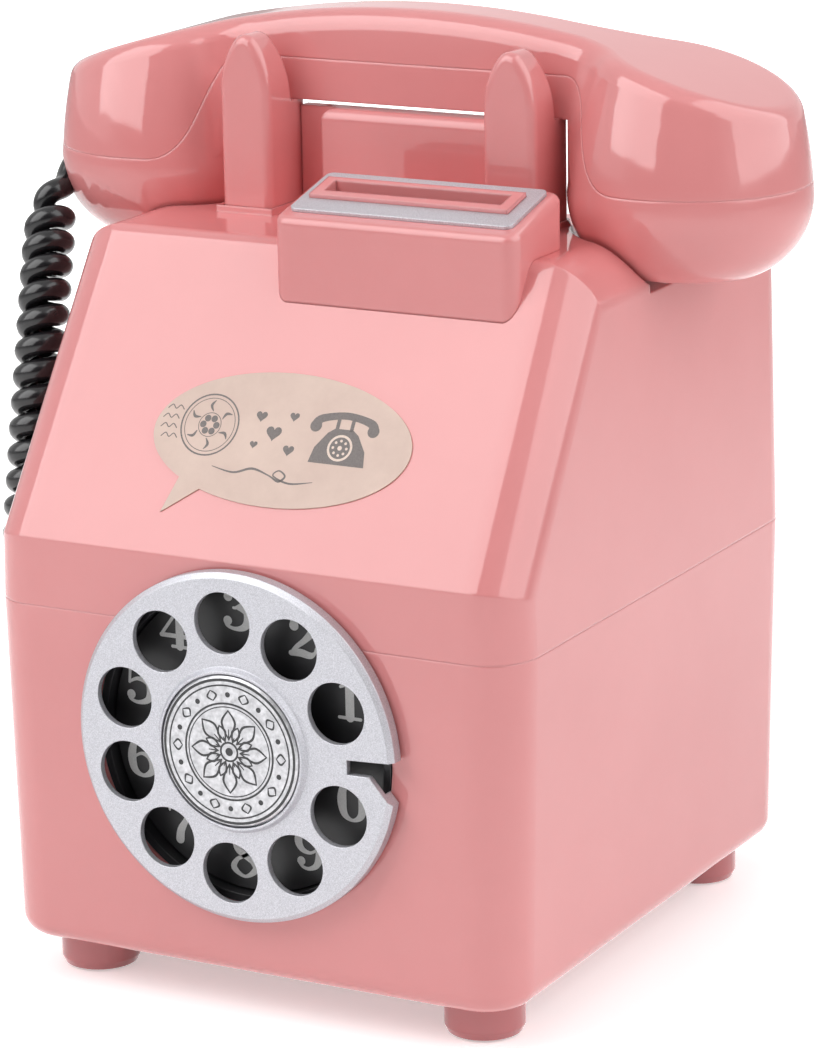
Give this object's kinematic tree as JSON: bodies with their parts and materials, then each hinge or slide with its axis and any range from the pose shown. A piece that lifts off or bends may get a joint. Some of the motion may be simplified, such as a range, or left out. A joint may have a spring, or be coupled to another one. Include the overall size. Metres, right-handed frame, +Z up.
{
  "type": "telephone-shaped coin bank",
  "caption": "Coin bank shaped like a small pay telephone, with a turning finger dial, a lift-off handset on a curly cord and a coin slot on top.",
  "frame": {"origin": "on the floor, under the middle of the object without its cord", "axes": "+X the front's right, +Y back, +Z up"},
  "size_m": [0.1696, 0.137, 0.1933],
  "materials": {
    "pink_plastic": "glossy",
    "silver_paint": "satin silver paint",
    "black_plastic": "satin",
    "number_print": "satin",
    "badge_metal": "satin",
    "cord_vinyl": "glossy",
    "label_film": "satin",
    "steel": "bright",
    "fibre": "matte"
  },
  "bodies": {
    "casing": {"lower_shell": "pink_plastic", "upper_shell": "pink_plastic", "slot_block": "pink_plastic", "crossbar": "pink_plastic", "slot_trim": "silver_paint", "cradle_prongs": "pink_plastic", "prong_washers": "steel", "prong_screws": "steel", "case_screws": "steel", "feet": "pink_plastic", "dial_seat": "black_plastic", "dial_seat_screws": "steel", "number_disc": "number_print", "dial_spindle": "steel", "friction_washer": "fibre", "spindle_washer": "steel", "spindle_nut": "steel", "body_cord_relief": "black_plastic", "slope_label": "label_film"},
    "dial": {"finger_wheel": "silver_paint", "wheel_badge": "badge_metal"},
    "hatch": {"coin_hatch": "black_plastic"},
    "handset": {"handset_lower": "pink_plastic", "handset_upper": "pink_plastic", "handset_screws": "steel", "handset_cord_relief": "black_plastic", "curly_cord": "cord_vinyl"}
  },
  "joints": [
    {"name": "dial_turn", "type": "hinge", "parent": "casing", "child": "dial", "pos_m": [0, -0.06305, 0.05785], "axis": [0, -1, 0], "continuous": true},
    {"name": "hatch_twist", "type": "hinge", "parent": "casing", "child": "hatch", "pos_m": [0, 0.00275, 0.0085], "axis": [0, 0, 1], "range_deg": [0, 60]},
    {"name": "handset_lift", "type": "slide", "parent": "casing", "child": "handset", "axis": [0, 0, 1], "range_m": [0, 0.06], "deforming": ["curly_cord"]}
  ]
}
